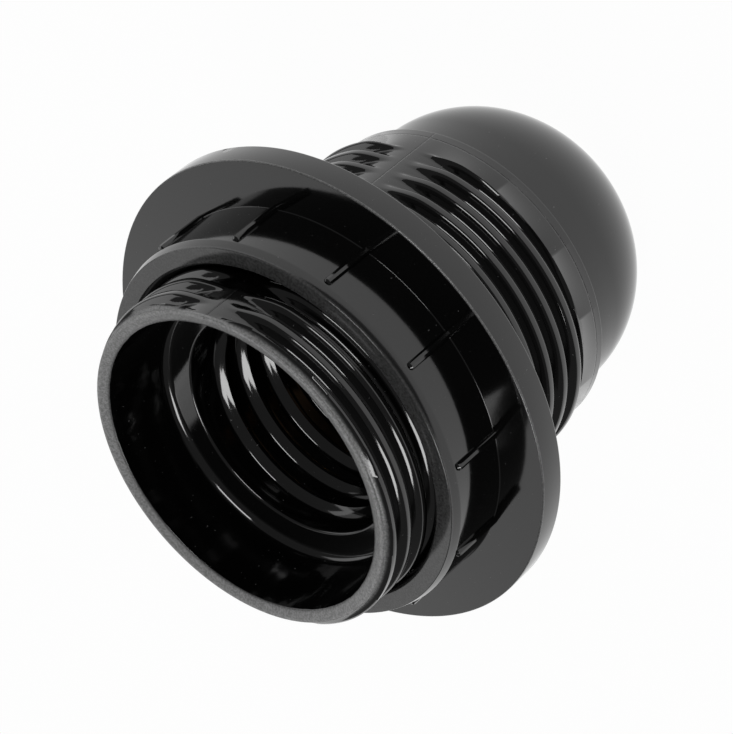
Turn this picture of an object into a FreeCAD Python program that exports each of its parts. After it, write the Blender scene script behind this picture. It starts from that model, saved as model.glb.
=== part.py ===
import FreeCAD, Part
import math
import os

# E27 lamp holder in black phenolic, in three screwed-together parts, with one shade ring on its threaded barrel.
# Frame: the holder's axis is Z. The origin is the centre of the cap's end face, where the M10 tube screws in,
# and +Z points to the open mouth. The mould's parting plane is XZ. Millimetres.

Vec = FreeCAD.Vector
ORIGIN = Vec(0, 0, 0)
AXIS = Vec(0, 0, 1)
AXIS_X = Vec(1, 0, 0)
AXIS_Y = Vec(0, 1, 0)

# ---------------------------------------------------------------- driving dimensions
HEIGHT = 57.0              # cap end face to open rim
SLEEVE_FOOT_Z = 18.0       # where the sleeve's lower edge stops
BARREL_CORE_D = 37.9       # barrel under its thread, also the band and the rim
BARREL_THREAD_D = 39.5     # shade ring thread over its crests
BARREL_PITCH = 2.5
THREAD_BASE_W = 2.1        # ridge at its root
THREAD_CREST_W = 0.8       # ridge at its crest
THREAD_LEAD_IN = 1.9       # rim to the middle of the first ridge
THREAD_BAND = 4.5          # plain band at the foot, up to the middle of the last ridge
MOUTH_D = 35.0             # inside the lip
MOUTH_FLOOR_D = 33.6       # the mouth narrows with the mould's draft
MOUTH_DEPTH = 8.6          # rim to the ledge round the lamp thread
LIP_DROP = 0.4             # the lip's face falls this much towards the bore
LIP_FLAT = 0.75            # share of the wall that falls
LEDGE_BEVEL = 0.5
SHELL_WALL = 2.0
LAMP_THREAD_D = 26.56      # E27 holder thread at its root
LAMP_THREAD_L = 15.0
LAMP_RELIEF = 0.4          # radial, below the lamp thread
LAMP_TUBE_WALL = 1.6

RING_FLANGE_D = 56.3
RING_FLANGE_T = 3.25
RING_FLANGE_Z = 39.0       # rear face of the flange, which carries the shade
RING_COLLAR_D = 45.4
RING_COLLAR_L = 7.85
RING_NOSE_L = 1.1          # the collar tapers over this length to its front face
RING_NOSE_DROP = 0.35
RING_MOUTH_BEVEL = 0.65
GRIP_RIBS = 12
GRIP_RIB_W = 1.0
GRIP_RIB_H = 0.5
GRIP_RIB_GAP = 1.4         # rib end to the collar's front edge
GRIP_TURN = 5.1            # degrees, first rib from +X

DOME_D = 35.0
DOME_SHOULDER_Z = 13.2     # the dome is cylindrical above this height
DOME_RISE = 15.04          # half height of the ellipse below it, cut off by the end face
CAP_WALL = 2.3
DOME_FACETS = 10           # cones down the dome
SPIGOT_TOP_Z = 24.5        # threaded spigot that the sleeve screws on
SPIGOT_WALL = 1.7
ENTRY_D = 8.9              # M10x1 entry thread at its crests
ENTRY_BOSS_D = 16.0
ENTRY_BOSS_L = 9.0
LOCK_SCREW_D = 3.0
LOCK_SCREW_L = 7.5
LOCK_SCREW_Z = 4.8

BLOCK_D = 30.0
BLOCK_T = 5.0
BLOCK_SEAT_Z = 20.0
SEAT_RIBS = 4
SEAT_RIB_W = 2.2
SEAT_REACH = 2.0           # how far a seat rib runs in under the block's edge
KEY_W = 3.0

STRIP_T = 0.5              # phosphor bronze
CENTRE_STRIP_W = 6.0
SIDE_STRIP_W = 5.0
LEAF_RISE = 3.1            # centre contact tip over the block
SIDE_RISE = 7.0
TERMINAL_X = 6.0
TERMINAL_Y = 5.0
TERMINAL_L = 8.5
TERMINAL_OFFSET = 8.1      # holder axis to terminal axis
TERMINAL_SUNK = 1.5        # terminal's head let into the block
WIRE_HOLE_D = 2.7
CLAMP_SCREW_D = 3.0
CLAMP_HEAD_D = 4.8
CLAMP_HEAD_T = 1.8
RIVET_D = 2.0
RIVET_HEAD_D = 3.6
RIVET_HEAD_T = 0.8

# ---------------------------------------------------------------- clearances
RING_RUNNING = 0.1         # shade ring bore over the thread crests, radial
SPIGOT_RUNNING = 0.08      # sleeve bore over the spigot, radial
SEAT_GAP = 0.1             # sleeve over the cap's shoulder and over the block
BLOCK_CLEAR = 0.22         # block inside the spigot, radial
KEY_CLEAR = 0.15           # each side of a key
LEAF_PLAY = 0.35           # under the rivet's head, so that the leaf can tip
OVERLAP = 0.4              # how far a ridge or rib is rooted in what carries it

# ---------------------------------------------------------------- worked out from them
core_r = BARREL_CORE_D / 2
crest_r = BARREL_THREAD_D / 2
sleeve_bore_r = core_r - SHELL_WALL
spigot_r = sleeve_bore_r - SPIGOT_RUNNING
spigot_bore_r = spigot_r - SPIGOT_WALL
lamp_r = LAMP_THREAD_D / 2
ledge_z = HEIGHT - MOUTH_DEPTH
block_top = BLOCK_SEAT_Z + BLOCK_T
block_r = min(BLOCK_D / 2, spigot_bore_r - BLOCK_CLEAR)
dome_r = DOME_D / 2
ring_bore_r = crest_r + RING_RUNNING


# ---------------------------------------------------------------- helpers
def outline(points):
    """A closed face in the XZ plane through (radius, height) points; a third number bevels that corner."""
    corners = [(Vec(p[0], 0, p[1]), p[2] if len(p) > 2 else 0) for p in points]
    drawn = []
    for i, (here, bevel) in enumerate(corners):
        before = corners[i - 1][0]
        after = corners[(i + 1) % len(corners)][0]
        if bevel:
            drawn.append(here + (before - here).normalize() * bevel)
            drawn.append(here + (after - here).normalize() * bevel)
        else:
            drawn.append(here)
    return Part.Face(Part.makePolygon(drawn + drawn[:1]))


def turned(face):
    return face.revolve(ORIGIN, AXIS, 360)


def box(x0, x1, y0, y1, z0, z1):
    return Part.makeBox(x1 - x0, y1 - y0, z1 - z0, Vec(x0, y0, z0))


def rod(radius, start, direction, length):
    return Part.makeCylinder(radius, length, start, direction)


def spun(shape, angle):
    copy = shape.copy()
    copy.rotate(ORIGIN, AXIS, angle)
    return copy


def around(shape, count, first=0.0):
    return [spun(shape, first + 360.0 * k / count) for k in range(count)]


def dome_points(radius, rise, from_r, to_r, facets):
    """Points down an ellipse whose widest circle is at the dome's shoulder."""
    start = math.acos(to_r / radius)
    end = math.acos(from_r / radius)
    angles = [start + (end - start) * k / facets for k in range(facets + 1)]
    return [(radius * math.cos(t), DOME_SHOULDER_Z - rise * math.sin(t)) for t in angles]


def bent_strip(route, thickness, width):
    """A strip bent from sheet: its middle line runs in the YZ plane through route."""
    points = [Vec(0, y, z) for y, z in route]
    runs = [(b - a).normalize() for a, b in zip(points, points[1:])]
    before = [runs[0]] + runs
    after = runs + [runs[-1]]
    sides = []
    for point, came, goes in zip(points, before, after):
        across = AXIS_X.cross((came + goes).normalize())
        half = thickness / 2 / across.dot(AXIS_X.cross(goes))
        sides.append((point + across * half, point - across * half))
    border = [a for a, b in sides] + [b for a, b in reversed(sides)]
    sheet = Part.Face(Part.makePolygon(border + border[:1]))
    sheet.translate(Vec(-width / 2, 0, 0))
    return sheet.extrude(Vec(width, 0, 0))


# ---------------------------------------------------------------- sleeve
def barrel_thread():
    """The moulded outer thread: a right-hand ridge, cut off by a flat at each mould parting line.

    The flats touch the barrel's core, so that the ridge sinks into it there and the mould can open.
    """
    top = HEIGHT - THREAD_LEAD_IN
    room = top - SLEEVE_FOOT_Z - THREAD_BAND
    half_turns = int(2 * room / BARREL_PITCH + 0.01)
    length = half_turns * BARREL_PITCH / 2
    root = core_r - OVERLAP
    widening = (THREAD_BASE_W - THREAD_CREST_W) / 2 * OVERLAP / (crest_r - core_r)
    profile = Part.makePolygon([
        Vec(root, 0, -THREAD_BASE_W / 2 - widening),
        Vec(crest_r, 0, -THREAD_CREST_W / 2),
        Vec(crest_r, 0, THREAD_CREST_W / 2),
        Vec(root, 0, THREAD_BASE_W / 2 + widening),
        Vec(root, 0, -THREAD_BASE_W / 2 - widening),
    ])
    helix = Part.makeHelix(BARREL_PITCH, length, root)
    ridge = Part.Wire(helix).makePipeShell([profile], True, True)
    ridge = spun(ridge, 180 * (1 - half_turns))
    ridge.translate(Vec(0, 0, top - length))
    between_flats = box(-core_r, core_r, -crest_r - 1, crest_r + 1, 0, HEIGHT)
    return ridge.common(between_flats)


def sleeve():
    lip_r = MOUTH_D / 2
    floor_r = MOUTH_FLOOR_D / 2
    tube_foot = block_top + SEAT_GAP
    tube_r = lamp_r + LAMP_TUBE_WALL
    thread_foot = ledge_z - LAMP_THREAD_L
    body = turned(outline([
        (core_r, SLEEVE_FOOT_Z, 0.25),
        (core_r, HEIGHT, 0.2),
        (lip_r + LIP_FLAT * (core_r - lip_r), HEIGHT),
        (lip_r, HEIGHT - LIP_DROP, 0.15),
        (floor_r, ledge_z, 0.3),
        (lamp_r, ledge_z, LEDGE_BEVEL),
        (lamp_r, thread_foot),
        (lamp_r + LAMP_RELIEF, thread_foot - LAMP_RELIEF),
        (lamp_r + LAMP_RELIEF, tube_foot),
        (tube_r, tube_foot),
        (tube_r, ledge_z - SHELL_WALL, 0.5),
        (sleeve_bore_r, ledge_z - SHELL_WALL, 0.5),
        (sleeve_bore_r, SLEEVE_FOOT_Z, 0.3),
    ]))
    return body.fuse(barrel_thread())


# ---------------------------------------------------------------- shade ring
def shade_ring():
    front = RING_FLANGE_Z + RING_FLANGE_T
    top = front + RING_COLLAR_L
    collar_r = RING_COLLAR_D / 2
    flange_r = RING_FLANGE_D / 2
    body = turned(outline([
        (ring_bore_r, RING_FLANGE_Z, 0.3),
        (flange_r, RING_FLANGE_Z, 0.4),
        (flange_r, front, 0.3),
        (collar_r, front),
        (collar_r, top - RING_NOSE_L),
        (collar_r - RING_NOSE_DROP, top, 0.2),
        (ring_bore_r, top, RING_MOUTH_BEVEL),
    ]))
    rib_top = top - GRIP_RIB_GAP
    half = GRIP_RIB_W / 2
    section = Part.makePolygon([
        Vec(collar_r - OVERLAP, -half, 0),
        Vec(collar_r + 0.1, -half, 0),
        Vec(collar_r + GRIP_RIB_H, -half + 0.2, 0),
        Vec(collar_r + GRIP_RIB_H, half - 0.2, 0),
        Vec(collar_r + 0.1, half, 0),
        Vec(collar_r - OVERLAP, half, 0),
        Vec(collar_r - OVERLAP, -half, 0),
    ])
    rib = Part.Face(section).extrude(Vec(0, 0, rib_top - front + OVERLAP))
    rib.translate(Vec(0, 0, front - OVERLAP))
    return body.fuse(around(rib, GRIP_RIBS, GRIP_TURN))


# ---------------------------------------------------------------- cap
def cap():
    shoulder = SLEEVE_FOOT_Z - SEAT_GAP
    entry_r = ENTRY_D / 2
    boss_r = ENTRY_BOSS_D / 2
    inner_r = spigot_bore_r
    face_r = dome_r * math.sqrt(1 - (DOME_SHOULDER_Z / DOME_RISE) ** 2)
    outer = dome_points(dome_r, DOME_RISE, face_r, dome_r, DOME_FACETS)
    inner = dome_points(inner_r, DOME_RISE - CAP_WALL, boss_r, inner_r, DOME_FACETS // 2)
    bore = [(boss_r, ENTRY_BOSS_L), (entry_r, ENTRY_BOSS_L, 0.4), (entry_r, 0)]
    spigot = [(dome_r, shoulder), (spigot_r, shoulder), (spigot_r, SPIGOT_TOP_Z, 0.4), (inner_r, SPIGOT_TOP_Z)]
    dome = turned(outline(bore + outer[::-1] + spigot + inner))
    skin = turned(outline([(0, 0)] + outer[::-1] + [(dome_r, SPIGOT_TOP_Z), (0, SPIGOT_TOP_Z)]))

    rooted_r = inner_r + OVERLAP
    hollow = rod(rooted_r, Vec(0, 0, ENTRY_BOSS_L / 2), AXIS, SPIGOT_TOP_Z)
    seat_in = block_r - SEAT_REACH
    key_in = seat_in + KEY_CLEAR
    seat = box(seat_in, rooted_r, -SEAT_RIB_W / 2, SEAT_RIB_W / 2, ENTRY_BOSS_L / 2, BLOCK_SEAT_Z)
    key = box(key_in, rooted_r, -KEY_W / 2, KEY_W / 2, ENTRY_BOSS_L / 2, SPIGOT_TOP_Z)
    ribs = around(seat, SEAT_RIBS, 180 / SEAT_RIBS) + around(key, 2)
    screw_boss = rod(LOCK_SCREW_D, Vec(0, entry_r + 1, LOCK_SCREW_Z), AXIS_Y, dome_r)
    added = [rib.common(hollow).common(skin) for rib in ribs] + [screw_boss.common(skin)]
    screw_hole = rod(LOCK_SCREW_D / 2, Vec(0, 0, LOCK_SCREW_Z), AXIS_Y, dome_r + 1)
    return dome.fuse(added).cut(screw_hole)


def entry_lock_screw():
    start = ENTRY_D / 2
    screw = rod(LOCK_SCREW_D / 2, Vec(0, start, LOCK_SCREW_Z), AXIS_Y, LOCK_SCREW_L)
    end = start + LOCK_SCREW_L
    slot = box(-LOCK_SCREW_D, LOCK_SCREW_D, end - 0.9, end + 1, LOCK_SCREW_Z - 0.3, LOCK_SCREW_Z + 0.3)
    return screw.cut(slot)


# ---------------------------------------------------------------- terminal block and what it carries
leaf_pivot_y = TERMINAL_OFFSET - RIVET_D / 2 - 0.2
terminal_top = BLOCK_SEAT_Z + TERMINAL_SUNK


def terminal_block():
    block = Part.makeCylinder(block_r, BLOCK_T, Vec(0, 0, BLOCK_SEAT_Z))
    rim = [edge for edge in block.Edges if edge.Closed]
    block = block.makeChamfer(0.4, rim)
    notch_in = block_r - SEAT_REACH
    notch = box(notch_in, block_r + 1, -KEY_W / 2 - KEY_CLEAR, KEY_W / 2 + KEY_CLEAR, 0, HEIGHT)
    leaf_w = CENTRE_STRIP_W / 2 + 0.6
    leaf_well = box(-leaf_w, leaf_w, -6.0, leaf_pivot_y, block_top - 2.0, block_top + 1)
    pocket = box(-TERMINAL_X / 2, TERMINAL_X / 2, -TERMINAL_Y / 2, TERMINAL_Y / 2, BLOCK_SEAT_Z - 1, terminal_top)
    cuts = around(notch, 2) + [leaf_well]
    for side in (1, -1):
        sunk = pocket.copy()
        sunk.translate(Vec(0, side * TERMINAL_OFFSET, 0))
        cuts.append(sunk)
        cuts.append(rod(RIVET_D / 2, Vec(0, side * TERMINAL_OFFSET, 0), AXIS, HEIGHT))
    return block.cut(cuts)


def terminal(side):
    """A brass pillar terminal: the wire enters from below and the screw clamps it from the side."""
    y = side * TERMINAL_OFFSET
    foot = terminal_top - TERMINAL_L
    pillar = box(-TERMINAL_X / 2, TERMINAL_X / 2, y - TERMINAL_Y / 2, y + TERMINAL_Y / 2, foot, terminal_top)
    upright_edges = [edge for edge in pillar.Edges if abs(edge.tangentAt(edge.FirstParameter).z) > 0.9]
    pillar = pillar.makeChamfer(0.5, upright_edges)
    wire_hole = rod(WIRE_HOLE_D / 2, Vec(0, y, foot - 1), AXIS, TERMINAL_L - 1)
    screw_hole = rod(CLAMP_SCREW_D / 2, Vec(0, y, foot + TERMINAL_L / 3), Vec(0, side, 0), TERMINAL_Y)
    return pillar.cut([wire_hole, screw_hole])


def clamp_screw(side):
    z = terminal_top - TERMINAL_L * 2 / 3
    face = side * (TERMINAL_OFFSET + TERMINAL_Y / 2)
    out = Vec(0, side, 0)
    head = rod(CLAMP_HEAD_D / 2, Vec(0, face, z), out, CLAMP_HEAD_T)
    rim = [edge for edge in head.Edges if edge.Closed and abs(edge.CenterOfMass.y) > abs(face) + 0.1]
    head = head.makeChamfer(0.4, rim)
    shank = rod(CLAMP_SCREW_D / 2, Vec(0, face - side * TERMINAL_Y / 2, z), out, TERMINAL_Y / 2)
    slot = box(-CLAMP_HEAD_D, CLAMP_HEAD_D, -0.4, 0.4, z - 0.35, z + 0.35)
    slot.translate(Vec(0, face + side * CLAMP_HEAD_T, 0))
    return head.fuse(shank).cut(slot)


def rivet(side, under_head):
    y = side * TERMINAL_OFFSET
    shank = rod(RIVET_D / 2, Vec(0, y, terminal_top), AXIS, under_head - terminal_top)
    head = rod(RIVET_HEAD_D / 2, Vec(0, y, under_head), AXIS, RIVET_HEAD_T)
    crown = [edge for edge in head.Edges if edge.Closed and edge.CenterOfMass.z > under_head + 0.1]
    return head.makeChamfer(0.4, crown).fuse(shank)


def centre_contact():
    """The springy leaf under the lamp's tip. It tips about the front edge of its seat, into the block's well."""
    mid = block_top + STRIP_T / 2
    tip = block_top + LEAF_RISE
    strip = bent_strip([
        (TERMINAL_OFFSET + 2.2, mid),
        (leaf_pivot_y - 1.6, mid),
        (-1.0, tip - STRIP_T / 2),
        (-3.2, tip - STRIP_T / 2 - 0.7),
    ], STRIP_T, CENTRE_STRIP_W)
    return strip.cut(rod(RIVET_D / 2 + LEAF_PLAY, Vec(0, TERMINAL_OFFSET, 0), AXIS, HEIGHT))


def side_contact():
    """The strip that stands up beside the lamp's shell, bowed inwards to press on it."""
    mid = block_top + STRIP_T / 2
    wall = -(lamp_r - 1.1)
    strip = bent_strip([
        (-TERMINAL_OFFSET + 2.2, mid),
        (wall, mid),
        (wall, block_top + SIDE_RISE * 0.45),
        (wall + 1.1, block_top + SIDE_RISE * 0.75),
        (wall + 0.3, block_top + SIDE_RISE),
    ], STRIP_T, SIDE_STRIP_W)
    return strip.cut(rod(RIVET_D / 2, Vec(0, -TERMINAL_OFFSET, 0), AXIS, HEIGHT))


# ---------------------------------------------------------------- nodes
strip_top = block_top + STRIP_T
NODES = {
    "cap": cap(),
    "entry_lock_screw": entry_lock_screw(),
    "sleeve": sleeve(),
    "shade_ring": shade_ring(),
    "terminal_block": terminal_block(),
    "centre_contact": centre_contact(),
    "side_contact": side_contact(),
    "live_terminal": terminal(1),
    "neutral_terminal": terminal(-1),
    "live_clamp_screw": clamp_screw(1),
    "neutral_clamp_screw": clamp_screw(-1),
    "centre_rivet": rivet(1, strip_top + LEAF_PLAY),
    "side_rivet": rivet(-1, strip_top),
}

os.makedirs("parts", exist_ok=True)
for name, shape in NODES.items():
    shape.exportStep("parts/" + name + ".step")
    print(name, shape.isValid(), len(shape.Solids), round(shape.Volume, 1))
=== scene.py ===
import math
import random

import bmesh
import bpy
import numpy as np
from mathutils import Matrix, Vector


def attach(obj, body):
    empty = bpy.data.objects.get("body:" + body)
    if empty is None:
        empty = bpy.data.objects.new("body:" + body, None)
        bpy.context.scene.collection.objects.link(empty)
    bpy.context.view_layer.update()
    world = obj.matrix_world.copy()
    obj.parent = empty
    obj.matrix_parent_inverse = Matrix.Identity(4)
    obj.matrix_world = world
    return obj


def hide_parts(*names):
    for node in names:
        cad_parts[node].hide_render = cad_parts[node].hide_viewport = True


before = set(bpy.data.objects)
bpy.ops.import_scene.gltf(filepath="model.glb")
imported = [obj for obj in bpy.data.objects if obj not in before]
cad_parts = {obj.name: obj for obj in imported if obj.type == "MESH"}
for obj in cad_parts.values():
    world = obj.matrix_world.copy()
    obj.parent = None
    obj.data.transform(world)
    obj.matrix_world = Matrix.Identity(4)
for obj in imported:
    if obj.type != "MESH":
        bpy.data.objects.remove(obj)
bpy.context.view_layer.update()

MM = 0.001

# ---------------------------------------------------------------- sleeve; millimetres, radii unless said
HEIGHT = 57.0                  # cap's end face to the open rim
SLEEVE_FOOT = 18.0
SHELL_WALL = 2.0
SLEEVE_BORE = 16.95

BARREL_CORE = 18.95            # the rim, the foot band and the plain strips
BARREL_ROOT = 18.55
BARREL_CREST = 19.75
BARREL_PITCH = 2.5
BARREL_RIDGE = (0.24, 1.0)     # width of a ridge at its crest and its foot, as a share of the pitch
BARREL_STEPS = 13              # rows of the mesh in one pitch
BARREL_RUN_OUT = (0.35, 0.5)   # the thread fades over these heights at its top and its foot
THREAD_CREST_AT = 54.3         # height of the middle of a ridge at azimuth 0
THREAD_TOP = 56.75
THREAD_FOOT = 21.6
STRIP_HALF = 0.02              # plain strip either side of a parting line, in radians
STRIP_REACH = 0.36             # radians from a parting line at which the thread is full
TIP_SUNK = 0.08                # how far a ridge ends below the strip
TIP_BLEND = 0.12               # reach over which its tip is rounded into the strip
FOOT_LINE = 19.2               # height of the fine line round the foot band

LIP = 17.5
LIP_FLAT = 18.6                # the rim is level outside this
LIP_FALL = 0.4
MOUTH_FLOOR = 16.8
LEDGE = 48.4                   # height of the ledge round the lamp thread
FLASH_WAVES = (3, 7, 13, 19, 31, 47, 61)
FLASH = 0.011                  # size of each wave of the broken edge

LAMP_ROOT = 13.28
LAMP_CREST = 12.2
LAMP_PITCH = 3.629
LAMP_RIDGE = (0.08, 0.5)
LAMP_STEPS = 12
LAMP_RUN_OUT = (0.5, 1.2)
LAMP_CREST_AT = 42.98          # height of a crest at azimuth 0
LAMP_THREAD_TOP = 46.4         # plain wall from here to the ledge
LAMP_THREAD_FOOT = 28.0
TUBE_OUTSIDE = 14.88
TUBE_FOOT = 25.1

# ---------------------------------------------------------------- shade ring
FLANGE = 28.15
FLANGE_REAR = 39.0
FLANGE_FRONT = 42.25
COLLAR = 22.7
COLLAR_TOP = 50.1
RING_BORE = 19.85
GRIP_RIBS = 12
GRIP_TURN = 5.1                # azimuth of the first rib, in degrees
RIB_GAP = 1.4                  # rib's end to the collar's front face
RIB_SECTION = [                # across the rib and out from the collar
    (-0.5, -0.35), (-0.46, 0.1), (-0.3, 0.34), (0.0, 0.46), (0.3, 0.34), (0.46, 0.1), (0.5, -0.35)]
NICK_AZIMUTH = 20              # chip in the flange's edge
NICK_HEIGHT = 39.2

# ---------------------------------------------------------------- cap
DOME = 17.5
SHOULDER = 13.2                # the dome is an ellipse below this height
DOME_RISE = 15.04
CAP_TOP = 17.9
CAP_WALL = 2.3
SPIGOT = 16.87
SPIGOT_BORE = 15.17
SPIGOT_TOP = 24.5
BOSS = 8.0
BOSS_TOP = 9.0
ENTRY_CREST = 4.45
ENTRY_ROOT = 5.0
ENTRY_PITCH = 1.0
ENTRY_STEPS = 8
ENTRY_RUN_OUT = 0.5

# ---------------------------------------------------------------- mesh, finish, light and camera
AROUND = 288                   # divisions round a turned part
ARC_STEPS = 5                  # divisions of a rounded corner
SLEEVE_CRISP = 50              # degrees; edges of the sleeve bent by more stay crisp

PHENOLIC_IOR = 1.6
BLACK = 0.0015
WORN_AND_HIGHLIGHT = 0.27                    # dust, where the moulding is rough, and the painted highlight on the flange's front edge
RELIEF = 0.00001               # metres of height for a relief of 1

WORLD_LEVEL = 0.16
SOFTBOXES = [                  # name, azimuth and elevation in degrees, distance, size, power
    ("front", -29, 38, 0.6, (0.3, 0.14), 1.1),
    ("side", -132, 58, 0.6, (0.24, 0.14), 0.9),
    ("back", 133, 38, 0.8, (0.7, 0.6), 1.0),
    ("left", 75, 24, 0.8, (0.5, 0.4), 0.8),
]
SOFTBOX_AIM = (0, 0, 0.03)
CAMERA_AIM = (-0.41, -0.39, 35.57)
CAMERA_AZIMUTH = -46.48
CAMERA_ELEVATION = 37.28
CAMERA_DISTANCE = 0.3448
CAMERA_ROLL = -130.27
CAMERA_LENS = 158.54
CAMERA_SENSOR = 36.0
FLOOR_HALF = 3.0
FLOOR_DROP = 0.0002            # keeps the floor clear of the cap's end face
FLOOR_GLOW = 0.97              # the rest is matt and takes the shadow


# ---------------------------------------------------------------- making meshes
def mesh_object(name, points, faces, sharp=32):
    """A smooth-shaded object from millimetre points; edges bent by over sharp degrees stay crisp."""
    mesh = bpy.data.meshes.new(name)
    places = [tuple(p) for p in np.asarray(points) * MM]
    mesh.from_pydata(places, [], [tuple(f) for f in faces])
    mesh.validate()
    thing = bpy.data.objects.new(name, mesh)
    bpy.context.scene.collection.objects.link(thing)
    tidy_mesh(mesh)
    mesh.shade_smooth()
    mesh.set_sharp_from_angle(angle=math.radians(sharp))
    return thing


def tidy_mesh(mesh):
    """Welds points that coincide and turns every face outwards."""
    work = bmesh.new()
    work.from_mesh(mesh)
    bmesh.ops.remove_doubles(work, verts=work.verts, dist=1e-7)
    bmesh.ops.dissolve_degenerate(work, edges=work.edges, dist=1e-8)
    bmesh.ops.recalc_face_normals(work, faces=work.faces)
    work.to_mesh(mesh)
    work.free()


def rounded(corners, closed=True):
    """Points of an outline from (radius, height, rounding) corners; an open one's ends stay sharp."""
    points = []
    count = len(corners)
    for i, corner in enumerate(corners):
        here = np.array(corner[:2], float)
        rounding = corner[2] if len(corner) > 2 else 0
        if not rounding or (not closed and i in (0, count - 1)):
            points.append(here)
            continue
        before = np.array(corners[i - 1][:2], float) - here
        after = np.array(corners[(i + 1) % count][:2], float) - here
        before /= np.linalg.norm(before)
        after /= np.linalg.norm(after)
        half = math.acos(np.clip(before @ after, -1, 1)) / 2
        reach = rounding / math.tan(half)
        middle = (before + after) / np.linalg.norm(before + after)
        centre = here + middle * rounding / math.sin(half)
        start = here + before * reach - centre
        end = here + after * reach - centre
        turn = math.atan2(start[0] * end[1] - start[1] * end[0], start @ end)
        for k in range(ARC_STEPS + 1):
            t = turn * k / ARC_STEPS
            points.append(centre + np.array([
                start[0] * math.cos(t) - start[1] * math.sin(t),
                start[0] * math.sin(t) + start[1] * math.cos(t)]))
    return points


def lathe_parts(profile, closed=True):
    """Points and faces of a (radius, height) profile turned about Z."""
    profile = np.array(profile, float)
    angles = np.linspace(-math.pi, math.pi, AROUND, endpoint=False)
    points = [(r * math.cos(t), r * math.sin(t), z) for t in angles for r, z in profile]
    count = len(profile)
    faces = []
    for i in range(AROUND):
        j = (i + 1) % AROUND
        for k in range(count if closed else count - 1):
            m = (k + 1) % count
            faces.append((i * count + k, j * count + k, j * count + m, i * count + m))
    return points, faces


def helix_wall_parts(radius_at, low, high, pitch, steps):
    """A wall whose rows climb with a right-hand thread, cut off level at low and high."""
    angles = np.linspace(-math.pi, math.pi, AROUND + 1)
    rows = np.arange(low - pitch, high + pitch + 1e-9, pitch / steps)
    points = []
    for t in angles:
        heights = np.clip(rows + pitch * t / (2 * math.pi), low, high)
        angle = -math.pi if t > math.pi - 1e-9 else t
        for z in heights:
            r = radius_at(angle, z)
            points.append((r * math.cos(angle), r * math.sin(angle), z))
    count = len(rows)
    faces = []
    for i in range(AROUND):
        for k in range(count - 1):
            a = i * count + k
            b = a + count
            face = (a, b, b + 1, a + 1)
            heights = [points[corner][2] for corner in face]
            if max(heights) - min(heights) >= 1e-9:
                faces.append(face)
    return points, faces


def joined(*parts):
    """Several lots of points and faces as one."""
    points, faces = [], []
    for some, more in parts:
        start = len(points)
        points.extend(some)
        faces.extend(tuple(i + start for i in face) for face in more)
    return points, faces


def smooth_step(x):
    """Runs smoothly from 0 at 0 to 1 at 1."""
    x = min(1.0, max(0.0, x))
    return x * x * (3 - 2 * x)


# ---------------------------------------------------------------- sleeve
def ridge(turns, crest_share, foot_share):
    """Height of a rounded ridge, 0 to 1, at a distance of turns from its middle."""
    off = abs((turns + 0.5) % 1.0 - 0.5)
    return smooth_step((foot_share / 2 - off) / ((foot_share - crest_share) / 2))


def run_out(z, foot, top, reaches):
    """0 at a thread's ends and 1 between; reaches are the fade's heights at the top and the foot."""
    return smooth_step((top - z) / reaches[0]) * smooth_step((z - foot) / reaches[1])


def soft_most(a, b, reach):
    """The larger of two values, rounded over where they come within reach of each other."""
    near = max(reach - abs(a - b), 0) / reach
    return max(a, b) + near * near * reach / 4


def barrel_radius(angle, z):
    """The outer thread; at each mould parting line its ridges sink to a point in a plain strip."""
    turns = (z - THREAD_CREST_AT) / BARREL_PITCH - angle / (2 * math.pi)
    r = BARREL_ROOT + (BARREL_CREST - BARREL_ROOT) * ridge(turns, *BARREL_RIDGE)
    off = math.asin(min(1, abs(math.sin(angle))))
    if off < STRIP_REACH:
        sunk = 1 - smooth_step((off - STRIP_HALF) / (STRIP_REACH - STRIP_HALF))
        strip = BARREL_ROOT + (BARREL_CORE - BARREL_ROOT) * sunk
        r = soft_most(r - (BARREL_CREST - BARREL_CORE + TIP_SUNK) * sunk, strip, TIP_BLEND)
    fade = run_out(z, THREAD_FOOT, THREAD_TOP, BARREL_RUN_OUT)
    return BARREL_CORE + (r - BARREL_CORE) * fade


def lamp_radius(angle, z):
    """The thread that takes the lamp: a round ridge standing in from the tube's wall."""
    turns = (z - LAMP_CREST_AT) / LAMP_PITCH - angle / (2 * math.pi)
    fade = run_out(z, LAMP_THREAD_FOOT, LAMP_THREAD_TOP, LAMP_RUN_OUT)
    return LAMP_ROOT - (LAMP_ROOT - LAMP_CREST) * ridge(turns, *LAMP_RIDGE) * fade


def make_sleeve():
    thread = helix_wall_parts(barrel_radius, THREAD_FOOT, THREAD_TOP, BARREL_PITCH, BARREL_STEPS)
    rim = rounded([
        (BARREL_CORE, THREAD_TOP),
        (BARREL_CORE, HEIGHT, 0.12),
        (LIP_FLAT, HEIGHT, 0.3),
        (LIP, HEIGHT - LIP_FALL, 0.12),
        (MOUTH_FLOOR, LEDGE, 1.1),
        (LAMP_ROOT, LEDGE, 0.35),
        (LAMP_ROOT, LAMP_THREAD_TOP),
    ], closed=False)
    lamp_thread = helix_wall_parts(
        lamp_radius, LAMP_THREAD_FOOT, LAMP_THREAD_TOP, LAMP_PITCH, LAMP_STEPS)
    inside = rounded([
        (LAMP_ROOT, LAMP_THREAD_FOOT),
        (LAMP_ROOT, TUBE_FOOT, 0.2),
        (TUBE_OUTSIDE, TUBE_FOOT, 0.2),
        (TUBE_OUTSIDE, LEDGE - SHELL_WALL, 0.4),
        (SLEEVE_BORE, LEDGE - SHELL_WALL, 0.4),
        (SLEEVE_BORE, SLEEVE_FOOT, 0.25),
        (BARREL_CORE, SLEEVE_FOOT, 0.22),
        (BARREL_CORE, THREAD_FOOT),
    ], closed=False)
    points, faces = joined(
        thread,
        lathe_parts(rim, closed=False),
        lamp_thread,
        lathe_parts(inside, closed=False),
    )
    return mesh_object("sleeve_shell", flashed(points), faces, SLEEVE_CRISP)


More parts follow.
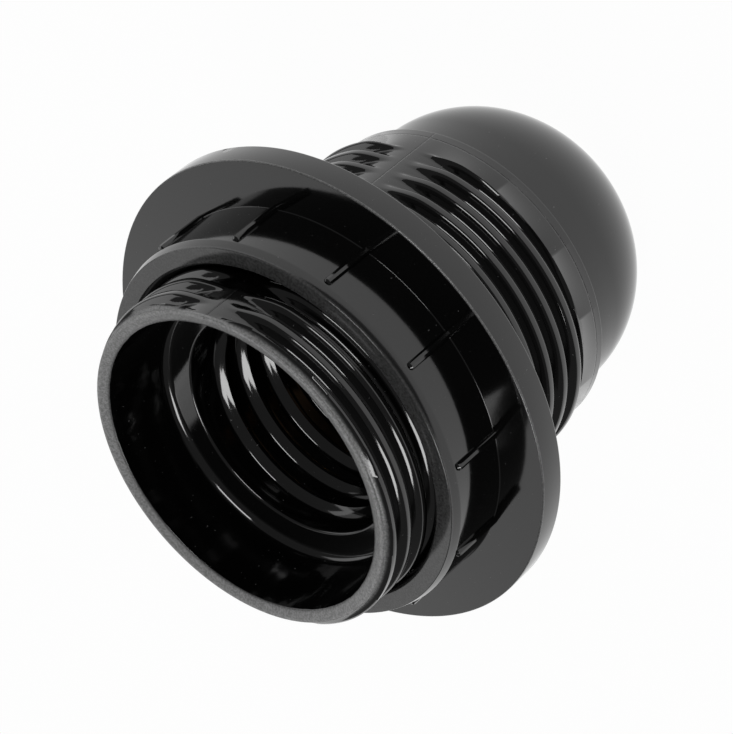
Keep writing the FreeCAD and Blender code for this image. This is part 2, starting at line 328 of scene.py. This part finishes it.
def flashed(points):
    """Leaves the mouth's inner edge slightly uneven, where the moulding flash was broken off."""
    waves = random.Random(27)
    terms = [(n, waves.uniform(0, 6.28), waves.uniform(0.5, 1)) for n in FLASH_WAVES]
    out = []
    for x, y, z in points:
        r = math.hypot(x, y)
        if z > HEIGHT - 1 and LIP - 0.5 < r < BARREL_CORE - 0.6:
            t = math.atan2(y, x)
            shift = FLASH * sum(size * math.sin(n * t + lag) for n, lag, size in terms)
            x, y = x * (1 + shift / r), y * (1 + shift / r)
            z += 0.5 * shift - 0.02
        out.append((x, y, z))
    return out


# ---------------------------------------------------------------- shade ring
def make_ring():
    profile = rounded([
        (RING_BORE, FLANGE_REAR, 0.25),
        (FLANGE, FLANGE_REAR, 0.3),
        (FLANGE, FLANGE_FRONT, 0.2),
        (COLLAR, FLANGE_FRONT, 0.12),
        (COLLAR, COLLAR_TOP - 1.1, 0.6),
        (COLLAR - 0.35, COLLAR_TOP, 0.14),
        (RING_BORE + 0.65, COLLAR_TOP, 0.15),
        (RING_BORE, COLLAR_TOP - 0.65),
    ])
    parts = [lathe_parts(profile)]
    for k in range(GRIP_RIBS):
        parts.append(grip_rib(math.radians(GRIP_TURN + 360 / GRIP_RIBS * k)))
    return mesh_object("shade_ring_body", *joined(*parts))


def grip_rib(angle):
    """A thin rounded rib along the collar, standing just under 0.5 mm proud, lower at its upper end."""
    top = COLLAR_TOP - RIB_GAP
    foot = FLANGE_FRONT - 0.1
    stations = [(foot, 1.0, 1.0), (top - 0.45, 1.0, 1.0), (top - 0.18, 0.92, 0.9), (top, 0.6, 0.3)]
    cos, sin = math.cos(angle), math.sin(angle)
    points = []
    for z, width, rise in stations:
        for side, out in RIB_SECTION:
            lift = out * rise if out > 0 else out
            x, y = COLLAR + lift, side * width
            points.append((x * cos - y * sin, x * sin + y * cos, z))
    count = len(RIB_SECTION)
    faces = []
    for k in range(len(stations) - 1):
        for i in range(count - 1):
            a = k * count + i
            faces.append((a, a + 1, a + 1 + count, a + count))
    last = (len(stations) - 1) * count
    faces.append(tuple(range(last, last + count)))
    return points, faces


# ---------------------------------------------------------------- cap
def ellipse_points(radius, rise, from_r, to_r, count):
    """Points down the dome's ellipse, from one radius to another."""
    start, end = math.acos(min(1, from_r / radius)), math.acos(min(1, to_r / radius))
    angles = np.linspace(start, end, count)
    return [(radius * math.cos(t), SHOULDER - rise * math.sin(t)) for t in angles]


def entry_radius(angle, z):
    """The sharp thread in the boss that takes the tube."""
    turns = z / ENTRY_PITCH - angle / (2 * math.pi)
    fade = run_out(z, 0, BOSS_TOP, (ENTRY_RUN_OUT, ENTRY_RUN_OUT))
    return ENTRY_CREST + (ENTRY_ROOT - ENTRY_CREST) * (1 - abs((turns % 1.0) * 2 - 1)) * fade


def make_cap():
    face = DOME * math.sqrt(1 - (SHOULDER / DOME_RISE) ** 2)
    inside_rise = DOME_RISE - CAP_WALL
    shell = rounded([(ENTRY_CREST, 0), (face - 0.1, 0)], closed=False)
    shell += ellipse_points(DOME, DOME_RISE, face, DOME, 28)
    shell += rounded([
        (DOME, CAP_TOP - 0.6),
        (DOME, CAP_TOP, 0.2),
        (SPIGOT, CAP_TOP),
        (SPIGOT, SPIGOT_TOP, 0.3),
        (SPIGOT_BORE, SPIGOT_TOP, 0.2),
        (SPIGOT_BORE, SHOULDER),
    ], closed=False)
    shell += ellipse_points(SPIGOT_BORE, inside_rise, SPIGOT_BORE, BOSS, 14)[1:]
    shell += rounded([
        (BOSS, BOSS_TOP - 1),
        (BOSS, BOSS_TOP, 0.3),
        (ENTRY_CREST, BOSS_TOP),
    ], closed=False)
    thread = helix_wall_parts(entry_radius, 0.0, BOSS_TOP, ENTRY_PITCH, ENTRY_STEPS)
    return mesh_object("cap_dome", *joined(lathe_parts(shell, closed=False), thread))


# ---------------------------------------------------------------- finishes
class Level:
    """A value that changes over a surface; arithmetic on it adds Math nodes."""

    def __init__(self, nodes, socket):
        self.nodes = nodes
        self.socket = socket

    def maths(self, operation, *values):
        node = self.nodes.add("ShaderNodeMath", {"operation": operation}, dict(enumerate(values)))
        return Level(self.nodes, node.outputs[0])

    def __add__(self, other):
        return self.maths("ADD", self, other)

    def __sub__(self, other):
        return self.maths("SUBTRACT", self, other)

    def __mul__(self, other):
        return self.maths("MULTIPLY", self, other)

    def __abs__(self):
        return self.maths("ABSOLUTE", self)

    def __rsub__(self, other):
        return self.maths("SUBTRACT", other, self)

    __radd__ = __add__
    __rmul__ = __mul__

    def most(self, other):
        return self.maths("MAXIMUM", self, other)

    def held(self, low, high):
        """Runs from 0 at low to 1 at high, smoothly, and is held outside."""
        node = self.nodes.add("ShaderNodeMapRange", {"interpolation_type": "SMOOTHSTEP"},
                              {"Value": self, "From Min": low, "From Max": high})
        return Level(self.nodes, node.outputs["Result"])

    def near(self, value, reach):
        """1 at the value, falling to 0 at a distance of reach from it."""
        return 1 - abs(self - value).held(reach * 0.4, reach)


class Nodes:
    """A node tree, with one way to add a node to it."""

    def __init__(self, owner):
        owner.use_nodes = True
        self.tree = owner.node_tree

    def add(self, kind, settings=None, inputs=None):
        node = self.tree.nodes.new(kind)
        for key, value in (settings or {}).items():
            setattr(node, key, value)
        for key, value in (inputs or {}).items():
            self.feed(node.inputs[key], value)
        return node

    def feed(self, socket, value):
        if isinstance(value, Level):
            value = value.socket
        if isinstance(value, bpy.types.NodeSocket):
            self.tree.links.new(value, socket)
        else:
            socket.default_value = value


class Finish(Nodes):
    """One procedural material."""

    def __init__(self, name, **fixed):
        self.material = bpy.data.materials.new(name)
        super().__init__(self.material)
        self.surface = self.tree.nodes["Principled BSDF"]
        for socket, value in fixed.items():
            self.surface.inputs[socket.replace("_", " ")].default_value = value
        self.place = self.add("ShaderNodeTexCoord").outputs["Object"]

    def noise(self, scale, detail=2.0):
        inputs = {"Vector": self.place, "Scale": scale, "Detail": detail}
        node = self.add("ShaderNodeTexNoise", None, inputs)
        return Level(self, node.outputs["Fac"])

    def axes(self):
        """X, Y and Z over the surface, in metres."""
        node = self.add("ShaderNodeSeparateXYZ", None, {"Vector": self.place})
        return [Level(self, out) for out in node.outputs]

    def distance_from(self, point):
        node = self.add("ShaderNodeVectorMath", {"operation": "DISTANCE"}, {0: self.place, 1: point})
        return Level(self, node.outputs["Value"])

    def blend(self, amount, a, b):
        node = self.add("ShaderNodeMix", {"data_type": "RGBA"}, {"Factor": amount, "A": a, "B": b})
        return node.outputs["Result"]

    def put(self, socket, value):
        self.feed(self.surface.inputs[socket], value)

    def relief(self, height, distance=RELIEF):
        bump = self.add("ShaderNodeBump", None, {"Height": height, "Distance": distance})
        self.put("Normal", bump.outputs["Normal"])


def colour(level, tint=(1.0, 1.0, 1.0)):
    return (level * tint[0], level * tint[1], level * tint[2], 1.0)


def moulded_black(name, matt=None, grooves=None, dent=None):
    """Glossy black phenolic, a little wavy, with a few specks of dust.

    matt and grooves give, from the finish, how far the surface is dulled and how deep a line is
    pressed in; on the shade ring matt also gives a painted highlight along the flange's front edge.
    dent is the place of a chip, in metres.
    """
    finish = Finish(name, IOR=PHENOLIC_IOR)
    cloud = finish.noise(110.0)
    peel = finish.noise(700.0)
    dust = finish.noise(3200.0, 1.0).held(0.77, 0.8)
    stipple = finish.noise(4500.0)
    # how far the surface is dulled and paled; on the shade ring this also carries the painted highlight
    # along the flange's front edge
    dull_and_highlight = matt(finish) if matt else 0.0
    lines = grooves(finish) if grooves else 0.0
    pale = dust * 0.3 + dull_and_highlight * (0.5 + stipple.held(0.3, 0.7) * 0.5)
    finish.put("Base Color", finish.blend(pale, colour(BLACK), colour(WORN_AND_HIGHLIGHT)))
    finish.put("Roughness", 0.05 + cloud * 0.07 + dull_and_highlight * 0.28 + dust * 0.3)
    height = cloud * 0.22 + peel * 0.15 + stipple * dull_and_highlight * 1.6 - lines * 7.0
    if dent:
        height = height - (1 - finish.distance_from(dent).held(0.0003, 0.001)) * 28.0
    finish.relief(height)
    return finish.material


def sleeve_matt(finish):
    """The rim is as it left the mould's parting face, rough and pale."""
    z = finish.axes()[2]
    return z.held((HEIGHT - 0.5) * MM, (HEIGHT - 0.25) * MM)


def sleeve_lines(finish):
    """The mould's parting lines down both sides, and the fine line round the foot band."""
    x, y, z = finish.axes()
    ragged = (finish.noise(2500.0) - 0.5) * 0.00012
    outside = (x * x + y * y).held(((BARREL_CORE - 0.35) * MM) ** 2, ((BARREL_CORE - 0.15) * MM) ** 2)
    parting = (y + ragged).near(0.0, 0.00011)
    foot_line = (z + ragged).near(FOOT_LINE * MM, 0.0001)
    return parting.most(foot_line) * outside


def ring_matt_and_highlight(finish):
    """The collar's end face is a little matt, and the flange's front edge has a pale line painted on as
    a highlight.
    """
    x, y, z = finish.axes()
    face = z.held((COLLAR_TOP - 0.35) * MM, (COLLAR_TOP - 0.05) * MM) * 0.2
    rim = (x * x + y * y).held(((FLANGE - 0.2) * MM) ** 2, ((FLANGE - 0.04) * MM) ** 2)
    # painted highlight: a pale band round the flange's front edge, standing for the light it catches
    edge = rim * z.near((FLANGE_FRONT - 0.08) * MM, 0.00016) * 0.6
    return face.most(edge)


def metal(name, tone, roughness):
    """Drawn or turned metal, with a fine grain in its tone."""
    finish = Finish(name, Metallic=1.0)
    drawn = finish.noise(700.0, 4.0)
    finish.put("Base Color", finish.blend(drawn, colour(0.8, tone), colour(1.0, tone)))
    finish.put("Roughness", roughness + drawn * 0.15)
    finish.relief(drawn)
    return finish.material


def satin_phenolic(name):
    """The duller moulding of the terminal block."""
    finish = Finish(name, IOR=1.55)
    grain = finish.noise(1200.0, 3.0)
    finish.put("Base Color", finish.blend(grain, colour(0.02), colour(0.035)))
    finish.put("Roughness", 0.3 + grain * 0.2)
    finish.relief(grain, 0.00002)
    return finish.material


# ---------------------------------------------------------------- light, floor and camera
def look_at(thing, place, target, roll=0.0):
    """Puts a lamp or camera at a place, facing a target, with its picture turned by roll."""
    back = (place - target).normalized()
    right = Vector((0, 0, 1)).cross(back).normalized()
    up = back.cross(right)
    turn = Matrix((right, up, back)).transposed().to_4x4()
    thing.matrix_world = Matrix.Translation(place) @ turn @ Matrix.Rotation(roll, 4, "Z")


def around_point(azimuth, elevation, distance, centre):
    a, e = math.radians(azimuth), math.radians(elevation)
    way = Vector((math.cos(e) * math.cos(a), math.cos(e) * math.sin(a), math.sin(e)))
    return Vector(centre) + distance * way


def add_camera():
    data = bpy.data.cameras.new("camera")
    data.sensor_fit = "HORIZONTAL"
    data.sensor_width = CAMERA_SENSOR
    data.lens = CAMERA_LENS
    data.clip_start = 0.01
    camera = bpy.data.objects.new("camera", data)
    bpy.context.scene.collection.objects.link(camera)
    aim = Vector(CAMERA_AIM) * MM
    place = around_point(CAMERA_AZIMUTH, CAMERA_ELEVATION, CAMERA_DISTANCE, aim)
    look_at(camera, place, aim, math.radians(CAMERA_ROLL))
    bpy.context.scene.camera = camera


def add_softbox(name, azimuth, elevation, distance, size, power):
    data = bpy.data.lights.new(name, "AREA")
    data.shape = "RECTANGLE"
    data.size, data.size_y = size
    data.energy = power
    lamp = bpy.data.objects.new(name, data)
    bpy.context.scene.collection.objects.link(lamp)
    aim = Vector(SOFTBOX_AIM)
    look_at(lamp, around_point(azimuth, elevation, distance, aim), aim)
    lamp.visible_camera = False


def add_world():
    world = bpy.data.worlds.new("studio")
    bpy.context.scene.world = world
    world.use_nodes = True
    background = world.node_tree.nodes["Background"]
    background.inputs["Color"].default_value = (1, 1, 1, 1)
    background.inputs["Strength"].default_value = WORLD_LEVEL


def floor_white():
    """White where it is seen, also by way of gloss or glass, with a share left to take the shadow."""
    material = bpy.data.materials.new("floor_white")
    nodes = Nodes(material)
    nodes.tree.nodes.clear()
    path = nodes.add("ShaderNodeLightPath")
    seen = Level(nodes, path.outputs["Is Camera Ray"])
    for name in ("Is Glossy Ray", "Is Transmission Ray"):
        seen = seen.most(Level(nodes, path.outputs[name]))
    matt = nodes.add("ShaderNodeBsdfDiffuse", None, {"Color": colour(0.85)})
    glow = nodes.add("ShaderNodeEmission", None, {"Strength": 1.0})
    mix = nodes.add("ShaderNodeMixShader", None,
                    {0: seen * FLOOR_GLOW, 1: matt.outputs[0], 2: glow.outputs[0]})
    nodes.add("ShaderNodeOutputMaterial", None, {"Surface": mix.outputs[0]})
    return material


def add_floor():
    size = FLOOR_HALF
    corners = [(-size, -size, 0), (size, -size, 0), (size, size, 0), (-size, size, 0)]
    mesh = bpy.data.meshes.new("floor")
    mesh.from_pydata(corners, [], [(0, 1, 2, 3)])
    floor = bpy.data.objects.new("floor", mesh)
    bpy.context.scene.collection.objects.link(floor)
    floor.location.z = -FLOOR_DROP
    mesh.materials.append(floor_white())


# ---------------------------------------------------------------- putting it together
def paint(thing, material):
    thing.data.materials.clear()
    thing.data.materials.append(material)


def moulding(thing, material, node):
    """Gives a finer piece its finish and puts it on the body of the same name, in place of the node."""
    paint(thing, material)
    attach(thing, node)
    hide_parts(node)


nick = [MM * size for size in (
    FLANGE * math.cos(math.radians(NICK_AZIMUTH)),
    FLANGE * math.sin(math.radians(NICK_AZIMUTH)),
    NICK_HEIGHT)]
sleeve_black = moulded_black("sleeve_black", sleeve_matt, sleeve_lines)
ring_black = moulded_black("ring_black", ring_matt_and_highlight, dent=nick)
cap_black = moulded_black("cap_black")
moulding(make_sleeve(), sleeve_black, "sleeve")
moulding(make_ring(), ring_black, "shade_ring")
moulding(make_cap(), cap_black, "cap")

brass = metal("brass", (0.72, 0.53, 0.24), 0.22)
bronze = metal("phosphor_bronze", (0.66, 0.42, 0.24), 0.25)
zinc = metal("zinc_steel", (0.6, 0.61, 0.62), 0.28)
satin = satin_phenolic("block_phenolic")
CARRIED = {
    "terminal_block": satin,
    "centre_contact": bronze,
    "side_contact": bronze,
    "live_terminal": brass,
    "neutral_terminal": brass,
    "centre_rivet": brass,
    "side_rivet": brass,
    "live_clamp_screw": zinc,
    "neutral_clamp_screw": zinc,
    "entry_lock_screw": zinc,
}
for node, material in CARRIED.items():
    paint(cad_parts[node], material)

add_world()
add_floor()
for softbox in SOFTBOXES:
    add_softbox(*softbox)
add_camera()

bpy.context.scene.view_settings.view_transform = "Standard"
